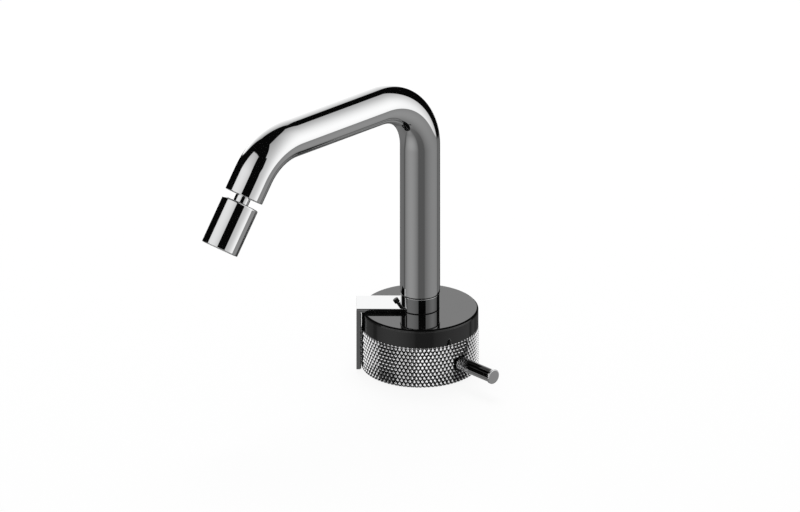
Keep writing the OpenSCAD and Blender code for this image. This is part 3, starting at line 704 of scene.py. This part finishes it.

# Gap shade: a thin black sheet inside the near edge of the strap's leg. It is painted shade, which
# fills the gap between the leg and the body as a dark line.

gap_shade_in, gap_shade_out, gap_shade_low, gap_shade_high = 29.15 * mm, 29.72 * mm, 1.7 * mm, 31.6 * mm
gap_shade_side = strap_w / 2 - strap_offset - 0.01 * mm
gap_shade_back = gap_shade_side - 0.59 * mm
gap_shade_edge = rounded([(gap_shade_in, gap_shade_back), (gap_shade_out, gap_shade_back), (gap_shade_out, gap_shade_side),
                     (gap_shade_in, gap_shade_side)], 0.08 * mm, closed=True)
gap_shade_middle = gap_shade_edge.mean(0)
gap_shade_z = np.array([gap_shade_low, gap_shade_low, gap_shade_high, gap_shade_high])
gap_shade_ring = gap_shade_middle + np.array([0.0, 1.0, 1.0, 0.0])[:, None, None] * (gap_shade_edge - gap_shade_middle)
gap_shade_points = strap_point(gap_shade_ring[..., 0], gap_shade_ring[..., 1], np.repeat(gap_shade_z[:, None], len(gap_shade_edge), 1))
gap_shade = lofted("strap_gap_shade", gap_shade_points, closed_rows=False)
# The black plastic on this sheet is painted shade.
gap_shade.data.materials.append(black_plastic)
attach(gap_shade, "flow_lever")

# Stud: a small headed pin that leans out of the strap beside the neck, turned from brass
# and lacquered black like the cap. Mirrors skip it, so that the plate beside it stays plain.

stud_mid, stud_side, stud_lean = 9 * mm, 6.2 * mm, math.radians(33)
stud_foot, stud_neck, stud_end, stud_r, stud_head_r = -0.45 * mm, 3.9 * mm, 6.1 * mm, 0.8 * mm, 1.4 * mm
stud_line = along(strap_point(stud_mid, stud_side, strap_top),
                  strap_point(math.sin(stud_lean), 0, math.cos(stud_lean)), (0, 0, 1))
stud = turned("stud_lacquered", rounded(
    [(stud_foot, 0), (stud_foot, stud_r), (stud_neck, stud_r), (stud_neck, stud_head_r),
     (stud_end, stud_head_r), (stud_end, 0)], [1e-6, 0.05 * mm, 0.1 * mm, 0.2 * mm, 0.2 * mm, 1e-6]),
    stud_line, 64, closed=False)
finish_piece(stud, gloss_black("stud_black", 1.25, False), "flow_lever", "dark_cap", "strap_stud")
stud.visible_glossy = False

# Nozzle plug and ball stem: the chromed plug closes the tube's end, and the hollow stem
# with its ball turns in it. A split clip above the plug keeps the stem in.

nozzle_axis = np.array([0, math.cos(nozzle_pitch), math.sin(nozzle_pitch)])
tube_end = spout_path([run_lengths[5]])[0][0]
nozzle_line = along(tube_end, nozzle_axis)
plug_l, plug_in_r = 6 * mm, 3.55 * mm
plug = turned("nozzle_plug_polished", rounded(
    [(0, plug_in_r), (0, tube_in_r), (plug_l, tube_in_r), (plug_l, plug_in_r)], 0.15 * mm, closed=True),
    nozzle_line, 128)
finish_piece(plug, chrome, "spout", "chrome", "nozzle_plug")

ball_r, ball_z, aerator_top = 7 * mm, -9.2 * mm, -3.7 * mm
stem_r, stem_neck_r, stem_bore_r = 4 * mm, 3.5 * mm, 2 * mm


def stem_profile():
    """Stem and ball: the ball's arc from its flat foot to the stem, then the stem with its grooves."""
    foot, top = -5.2 * mm, math.sqrt(ball_r ** 2 - stem_r ** 2)
    shoulder, stem_top = -0.3 * mm, 7.7 * mm
    (seal_low, seal_high, seal_r), (clip_low, clip_high, clip_r) = np.array(
        [(2.25, 3.75, 2.5), (6.3, 7.1, 2.9)]) * mm
    lower = math.acos(foot / ball_r)
    turn = np.linspace(lower, math.acos(top / ball_r), 40)
    ball = np.stack([ball_z + ball_r * np.cos(turn), ball_r * np.sin(turn)], -1)
    upper = rounded([ball[-1], (shoulder, stem_r), (shoulder, stem_neck_r), (seal_low, stem_neck_r),
                     (seal_low, seal_r), (seal_high, seal_r), (seal_high, stem_neck_r),
                     (clip_low, stem_neck_r), (clip_low, clip_r), (clip_high, clip_r),
                     (clip_high, stem_neck_r), (stem_top, stem_neck_r), (stem_top, stem_bore_r)], 0.06 * mm)
    return np.concatenate([[(ball[0, 0], stem_bore_r)], ball, upper[1:]])


stem = turned("ball_stem_polished", stem_profile(), nozzle_line, 96)
finish_piece(stem, chrome, "ball_stem", "chrome", "ball_stem")

# Aerator housing: a turned and chromed brass sleeve with a softly rounded top edge. Its
# mouth holds the ball, and the strainer, regulator and insert sit inside its lower end.

housing_r, housing_end = 9.6 * mm, -28.7 * mm


def housing_profile():
    """The housing as one closed line: outside, top edge, mouth, ball socket, bores and lower edge."""
    socket_r, mouth_r, seat_r, insert_r, shelf = 7.05 * mm, 6 * mm, 7.6 * mm, 8.1 * mm, -17.2 * mm
    turn = np.linspace(math.asin(mouth_r / socket_r), math.pi / 2, 24)
    socket = np.stack([ball_z + socket_r * np.cos(turn), socket_r * np.sin(turn)], -1)
    outside = rounded([(housing_end, insert_r), (housing_end, housing_r), (aerator_top, housing_r),
                       (aerator_top, mouth_r), socket[0]],
                      [0.1 * mm, 0.3 * mm, 0.9 * mm, 0.2 * mm, 0.1 * mm], steps=8)
    bores = np.array([(ball_z, seat_r), (shelf, seat_r), (shelf, insert_r)])
    return np.concatenate([outside, socket[1:], bores])


housing = turned("aerator_housing_polished", housing_profile(), nozzle_line, 160)
finish_piece(housing, chrome, "aerator", "chrome", "aerator_housing")

# Studio: a plain pale floor in a light tent with dark gaps, which metal shows, while plain
# surfaces get an even light. A softbox above and behind the mixer gives a faint shadow.

floor_half = 6.0
floor_ends = np.array([(-1, -1, 0), (1, -1, 0), (1, 1, 0), (-1, 1, 0)]) * floor_half
floor = meshed("floor", floor_ends, np.array([[0, 1, 2, 3]]))
floor.location.z = -0.2 * mm


def floor_paint():
    """Pale floor: from above the camera sees near white with the soft shadow. From below it is
    clear, and all other rays pass it, so that mirrors show the surround."""
    made = bpy.data.materials.new("pale_floor")
    made.use_nodes = True
    nodes, link = made.node_tree.nodes, made.node_tree.links.new
    nodes.clear()
    out, ray, side, matt, glow, both, clear, pick = (nodes.new("ShaderNode" + kind) for kind in (
        "OutputMaterial", "LightPath", "NewGeometry", "BsdfDiffuse", "Emission", "MixShader",
        "BsdfTransparent", "MixShader"))
    matt.inputs["Color"].default_value = (0.8, 0.8, 0.8, 1)
    glow.inputs["Strength"].default_value = 1.0
    both.inputs["Fac"].default_value = 0.9
    link(matt.outputs[0], both.inputs[1])
    link(glow.outputs[0], both.inputs[2])
    hidden, shown = nodes.new("ShaderNodeMath"), nodes.new("ShaderNodeMath")
    hidden.operation, shown.operation = "SUBTRACT", "MULTIPLY"
    hidden.inputs[0].default_value = 1.0
    link(side.outputs["Backfacing"], hidden.inputs[1])
    link(hidden.outputs[0], shown.inputs[0])
    link(ray.outputs["Is Camera Ray"], shown.inputs[1])
    link(shown.outputs[0], pick.inputs["Fac"])
    link(clear.outputs[0], pick.inputs[1])
    link(both.outputs[0], pick.inputs[2])
    link(pick.outputs[0], out.inputs["Surface"])
    return made


floor.data.materials.append(floor_paint())


def studio_world():
    """World by ray: the camera sees white, plain surfaces an even light, and mirrors the tent. In
    azimuth and elevation (degrees) the tent has three tall windows on black, over a grey floor."""
    world = bpy.data.worlds.new("studio")
    bpy.context.scene.world = world
    world.use_nodes = True
    nodes, link = world.node_tree.nodes, world.node_tree.links.new
    nodes.clear()

    def calc(kind, *values):
        """One Math node on numbers or sockets."""
        node = nodes.new("ShaderNodeMath")
        node.operation = kind
        for socket, value in zip(node.inputs, values):
            if isinstance(value, (int, float)):
                socket.default_value = value
            else:
                link(value, socket)
        return node.outputs[0]

    def above(value, edge, soft):
        """0 where the value is under the edge, 1 over it, and smooth between, soft to each side."""
        node = nodes.new("ShaderNodeMapRange")
        node.interpolation_type = "SMOOTHSTEP"
        link(calc("SUBTRACT", value, edge), node.inputs["Value"])
        node.inputs["From Min"].default_value, node.inputs["From Max"].default_value = -soft, soft
        return node.outputs["Result"]

    def window(low, high, bottom, top, soft=0.8):
        """The window's mask: between two azimuths and two elevations, which may be sockets."""
        sides = calc("MULTIPLY", above(turn, low, soft), calc("SUBTRACT", 1.0, above(turn, high, soft)))
        ends = calc("MULTIPLY", above(rise, bottom, soft), calc("SUBTRACT", 1.0, above(rise, top, soft)))
        return calc("MULTIPLY", sides, ends)

    def patch(low, high):
        """A soft patch of the floor between two azimuths."""
        return window(low, high, -100.0, 0.0, 3.0)

    def squared(value, middle, scale):
        """((value - middle) / scale) squared."""
        part = calc("DIVIDE", calc("SUBTRACT", value, middle), scale)
        return calc("MULTIPLY", part, part)

    def bowed(edge, value, start, scale, side=1.0):
        """An edge that runs straight and then bends away with the square of the value past its start."""
        past = calc("MAXIMUM", calc("MULTIPLY", calc("SUBTRACT", value, start), side), 0.0)
        return calc("ADD", edge, calc("MULTIPLY", calc("MULTIPLY", past, past), scale))

    def falling(peak, value, start, slope):
        """A brightness that falls evenly with the value past its start."""
        past = calc("MAXIMUM", calc("SUBTRACT", value, start), 0.0)
        return calc("SUBTRACT", peak, calc("MULTIPLY", past, slope))

    def domed(value, middle, scale):
        """1 - ((value - middle) / scale) squared."""
        return calc("SUBTRACT", 1.0, squared(value, middle, scale))

    def laid(under, over, mask):
        """One light over what is there, by its mask."""
        return calc("ADD", calc("MULTIPLY", under, calc("SUBTRACT", 1.0, mask)), calc("MULTIPLY", over, mask))

    ray = nodes.new("ShaderNodeLightPath")
    parts = nodes.new("ShaderNodeSeparateXYZ")
    link(nodes.new("ShaderNodeTexCoord").outputs["Generated"], parts.inputs[0])
    x, y, z = parts.outputs
    rise = calc("MULTIPLY", calc("ARCSINE", z), 180 / math.pi)
    turn = calc("MULTIPLY", calc("ARCTAN2", y, x), 180 / math.pi)

    # The window behind the camera's left shoulder. Its lower edge rises with the azimuth and then
    # drops, and left of -139.8 degrees only a thin strip over that edge is open
    left_edge, floor_edge = -149.0, -20.5
    slope = calc("ADD", calc("MULTIPLY", calc("SUBTRACT", turn, left_edge), 0.444), 19.6)
    left_light = calc("MULTIPLY", falling(1.13, rise, 12.0, 0.0125), domed(turn, -105.0, 79.0))
    left_low = laid(calc("SUBTRACT", slope, 1.5), 3.0, above(turn, -124.0, 1.0))
    left_mask = window(left_edge, laid(-52.0, -61.5, above(rise, 27.5, 2.0)), left_low,
                       calc("SUBTRACT", 61.5, squared(turn, -95.0, 15.8)))
    corner = calc("MULTIPLY", calc("SUBTRACT", 1.0, above(turn, -139.8, 0.4)),
                  above(rise, calc("ADD", slope, 0.6), 0.3))
    left_mask = calc("MULTIPLY", left_mask, calc("SUBTRACT", 1.0, corner))
    # The tall window on the right, brightest where azimuth 38 meets the horizon. Its left side steps
    # in between 16 and 34 degrees up
    away = calc("ADD", squared(turn, 38.0, 26.0), squared(rise, 0.0, 50.0))
    spot = calc("EXPONENT", calc("MULTIPLY", away, -1.0))
    right_light = calc("ADD", calc("MULTIPLY", domed(rise, 0.0, 120.0), 0.55), calc("MULTIPLY", spot, 0.57))
    right_low = calc("ADD", bowed(-14.0, rise, 45.0, -0.0128),
                     calc("MULTIPLY", calc("SUBTRACT", above(rise, 16.0, 2.0), above(rise, 34.0, 3.0)), 5.5))
    right_mask = window(right_low, bowed(73.5, rise, 20.0, 0.0066), floor_edge,
                        calc("SUBTRACT", 75.5, squared(turn, 28.0, 23.6)))
    # The window behind the mixer, seen from the camera
    back_light = calc("MULTIPLY", falling(1.33, rise, 9.0, 0.0182), domed(turn, 142.0, 50.0))
    back_mask = window(118.5, bowed(179.0, rise, 24.0, -0.02, -1.0), floor_edge,
                       bowed(57.0, turn, 140.0, -0.007))
    # A low strip of light in front, which edges pick up as a thin line
    strip_mask = window(-124.0, -9.0, -20.0, -9.0)
    # The floor: a grey, lightest straight below, and pools of light under the windows, which are
    # brightest 40 degrees down
    floor_grey, floor_fade = 0.134, 0.036
    near = calc("MAXIMUM", domed(rise, -40.0, 36.5), 0.45)
    under_left = calc("MULTIPLY", domed(turn, -98.0, 52.0), patch(-138.0, -52.0))
    under_right = calc("MULTIPLY", domed(turn, 45.0, 70.0), patch(-16.0, 73.0))
    under_back = calc("MAXIMUM", patch(-190.0, left_edge), patch(146.0, 190.0))
    pool = 0.0
    for mask, value in ((under_left, 0.26), (under_right, 0.2), (under_back, 0.07), (patch(80.0, 94.0), 0.1)):
        pool = calc("ADD", pool, calc("MULTIPLY", mask, value))
    ground = calc("ADD", floor_grey, calc("MULTIPLY", near, pool))
    ground = calc("SUBTRACT", ground, calc("MULTIPLY", above(rise, -60.0, 30.0), floor_fade))
    tent, strip_light, even_light = 0.0022, 0.8, 0.75
    for light, mask in ((left_light, left_mask), (right_light, right_mask), (back_light, back_mask),
                        (strip_light, strip_mask)):
        tent = laid(tent, light, mask)
    tent = laid(ground, tent, above(rise, floor_edge, 0.8))
    shown = calc("MULTIPLY", ray.outputs["Is Glossy Ray"], tent)
    even = calc("MULTIPLY", calc("SUBTRACT", 1.0, ray.outputs["Is Glossy Ray"]), even_light)
    lit = nodes.new("ShaderNodeBackground")
    lit.inputs["Color"].default_value = (1, 1, 1, 1)
    link(calc("MAXIMUM", calc("ADD", shown, even), ray.outputs["Is Camera Ray"]), lit.inputs["Strength"])
    link(lit.outputs[0], nodes.new("ShaderNodeOutputWorld").inputs["Surface"])


studio_world()

lamp = bpy.data.lights.new("softbox", "AREA")
lamp.shape, lamp.size, lamp.energy = "DISK", 0.9, 12.0
softbox = bpy.data.objects.new("softbox", lamp)
softbox.location = (-0.5, 0.35, 1.3)
softbox.rotation_euler = (Vector((0, 0, 0.05)) - softbox.location).to_track_quat("-Z", "Y").to_euler()
softbox.visible_glossy = False
bpy.context.scene.collection.objects.link(softbox)

# Camera: the photograph is almost parallel, so the camera is parallel too. The picture is
# 800 pixels wide and 0.4963 mm a pixel, and the body's foot lies 20 right and 110 below its middle.

azimuth, elevation, pixel = math.radians(47.3), math.radians(23.8), 0.4963 * mm
level = math.cos(elevation)
right = Vector((math.cos(azimuth), math.sin(azimuth), 0))
back = Vector((math.sin(azimuth) * level, -math.cos(azimuth) * level, math.sin(elevation)))
up = back.cross(right)
lens = bpy.data.cameras.new("camera")
lens.type, lens.ortho_scale, lens.clip_end = "ORTHO", 800 * pixel, 20.0
camera = bpy.data.objects.new("camera", lens)
camera.matrix_world = Matrix((right, up, back)).transposed().to_4x4()
camera.location = right * (-20.0 * pixel) + up * (109.9 * pixel) + back * 1.5
bpy.context.scene.collection.objects.link(camera)
bpy.context.scene.camera = camera
bpy.context.scene.view_settings.view_transform = "Standard"
